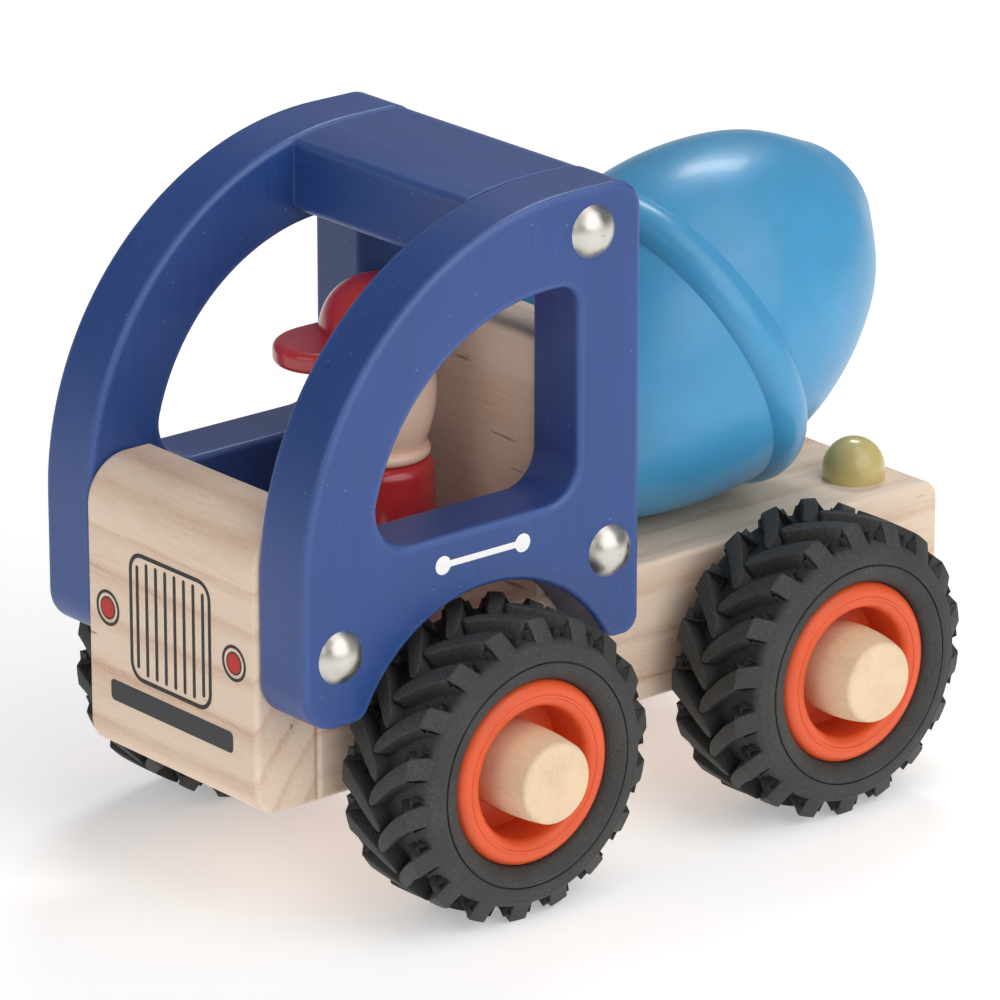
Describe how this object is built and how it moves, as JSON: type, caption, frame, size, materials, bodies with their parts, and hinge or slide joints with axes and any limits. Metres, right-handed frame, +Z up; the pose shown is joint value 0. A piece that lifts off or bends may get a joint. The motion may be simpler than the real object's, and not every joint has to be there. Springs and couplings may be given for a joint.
{
  "type": "toy cement mixer truck",
  "caption": "Wooden push-along toy cement mixer: block chassis, open cab with a peg driver, tilted drum that turns, and chunky tractor-tread wheels on capped axles.",
  "frame": {"origin": "on the ground, under the middle of the truck's overall box", "axes": "+Z up; the cab's nose faces -Y; +X is the truck's left side; Y runs along the truck's length"},
  "size_m": [0.1036, 0.1512, 0.119],
  "materials": {
    "pine_board": "planed pine, sanded, clear water lacquer",
    "beech_dowel": "bare beech dowel",
    "turned_beech": "turned and sanded pale wood",
    "royal_blue_lacquer": "satin opaque lacquer on wood",
    "sky_blue_lacquer": "gloss opaque lacquer on turned wood",
    "red_lacquer": "gloss opaque lacquer on turned wood",
    "peach_lacquer": "satin opaque lacquer on turned wood",
    "olive_lacquer": "satin opaque lacquer on turned wood",
    "nickel_plated_nail": "bright nickel plate on a pressed dome",
    "axle_steel": "drawn steel rod",
    "orange_moulded_plastic": "moulded, satin",
    "nylon_washer": "natural nylon",
    "tread_rubber": "moulded rubber, fine sparkle texture"
  },
  "bodies": {
    "truck": {"chassis": "pine_board", "nose_block": "pine_board", "cab_rear_wall": "pine_board", "drum_support": "pine_board", "nose_dowels": "beech_dowel", "wall_dowels": "beech_dowel", "driver_dowel": "beech_dowel", "drum_axle": "beech_dowel", "cab_side_left": "royal_blue_lacquer", "cab_side_right": "royal_blue_lacquer", "roof_beam": "royal_blue_lacquer", "cab_nails_left": "nickel_plated_nail", "cab_nails_right": "nickel_plated_nail", "driver_body": "red_lacquer", "driver_cap": "red_lacquer", "driver_head": "peach_lacquer", "drum_washer": "nylon_washer", "tail_peg_left": "olive_lacquer", "tail_peg_right": "olive_lacquer", "front_axle": "axle_steel", "rear_axle": "axle_steel", "wheel_washers": "nylon_washer", "hub_cap_front_left": "turned_beech", "hub_cap_front_right": "turned_beech", "hub_cap_rear_left": "turned_beech", "hub_cap_rear_right": "turned_beech"},
    "wheel_front_left": {"rim_front_left": "orange_moulded_plastic", "tyre_front_left": "tread_rubber"},
    "wheel_front_right": {"rim_front_right": "orange_moulded_plastic", "tyre_front_right": "tread_rubber"},
    "wheel_rear_left": {"rim_rear_left": "orange_moulded_plastic", "tyre_rear_left": "tread_rubber"},
    "wheel_rear_right": {"rim_rear_right": "orange_moulded_plastic", "tyre_rear_right": "tread_rubber"},
    "drum": {"drum": "sky_blue_lacquer"}
  },
  "joints": [
    {"name": "front_left_wheel_spin", "type": "hinge", "parent": "truck", "child": "wheel_front_left", "pos_m": [0.036, -0.0365, 0.0261], "axis": [1, 0, 0], "continuous": true},
    {"name": "front_right_wheel_spin", "type": "hinge", "parent": "truck", "child": "wheel_front_right", "pos_m": [-0.036, -0.0365, 0.0261], "axis": [1, 0, 0], "continuous": true},
    {"name": "rear_left_wheel_spin", "type": "hinge", "parent": "truck", "child": "wheel_rear_left", "pos_m": [0.036, 0.0348, 0.0261], "axis": [1, 0, 0], "continuous": true},
    {"name": "rear_right_wheel_spin", "type": "hinge", "parent": "truck", "child": "wheel_rear_right", "pos_m": [-0.036, 0.0348, 0.0261], "axis": [1, 0, 0], "continuous": true},
    {"name": "drum_spin", "type": "hinge", "parent": "truck", "child": "drum", "pos_m": [0, 0.0316, 0.076], "axis": [0, 0.8942, 0.4478], "continuous": true}
  ]
}
